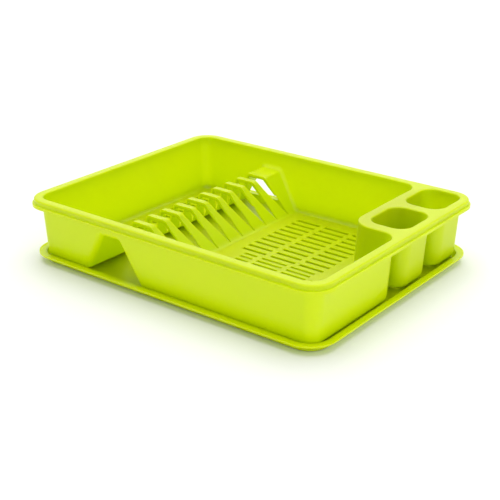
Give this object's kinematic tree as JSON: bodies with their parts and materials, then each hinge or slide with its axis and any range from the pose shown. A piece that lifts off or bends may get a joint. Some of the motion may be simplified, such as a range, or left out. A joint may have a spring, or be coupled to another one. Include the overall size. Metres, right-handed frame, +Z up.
{
  "type": "dish drying rack",
  "caption": "Lime-green moulded dish drainer with a slotted floor, a ridge of plate fins and square cutlery pots, lifting out of a shallow drip tray.",
  "frame": {"origin": "on the table, under the middle of the rack's outline, at the underside of the drip tray", "axes": "+X to the right along the long side, -Y towards the long front side, +Z up"},
  "size_m": [0.48, 0.3786, 0.09],
  "materials": {
    "drainer_plastic": "lime-green injection-moulded polypropylene, satin gloss",
    "tray_plastic": "lime-green injection-moulded polypropylene, satin gloss"
  },
  "bodies": {
    "tray": {"drip_tray": "tray_plastic"},
    "drainer": {"rim_front": "drainer_plastic", "rim_back": "drainer_plastic", "rim_left": "drainer_plastic", "rim_right": "drainer_plastic", "rim_corner_front_left": "drainer_plastic", "rim_corner_front_right": "drainer_plastic", "rim_corner_back_left": "drainer_plastic", "pot_deck": "drainer_plastic", "cutlery_pot_front": "drainer_plastic", "cutlery_pot_rear": "drainer_plastic", "ridge_end_front": "drainer_plastic", "ridge_end_back": "drainer_plastic", "wall_left": "drainer_plastic", "wall_right": "drainer_plastic", "wall_front": "drainer_plastic", "wall_back": "drainer_plastic", "wall_bay_front": "drainer_plastic", "wall_bay_left": "drainer_plastic", "wall_corner_front_left": "drainer_plastic", "wall_corner_front_right": "drainer_plastic", "wall_corner_back_left": "drainer_plastic", "wall_corner_right_end": "drainer_plastic", "wall_corner_back_end": "drainer_plastic", "wall_corner_bay": "drainer_plastic", "floor_left": "drainer_plastic", "floor_middle": "drainer_plastic", "floor_right": "drainer_plastic", "plate_fin_1": "drainer_plastic", "plate_fin_2": "drainer_plastic", "plate_fin_3": "drainer_plastic", "plate_fin_4": "drainer_plastic", "plate_fin_5": "drainer_plastic", "plate_fin_6": "drainer_plastic", "plate_fin_7": "drainer_plastic", "plate_fin_8": "drainer_plastic", "plate_fin_9": "drainer_plastic"}
  },
  "joints": [
    {"name": "drainer_lift", "type": "slide", "parent": "tray", "child": "drainer", "axis": [0, 0, 1], "range_m": [0, 0.12]}
  ]
}
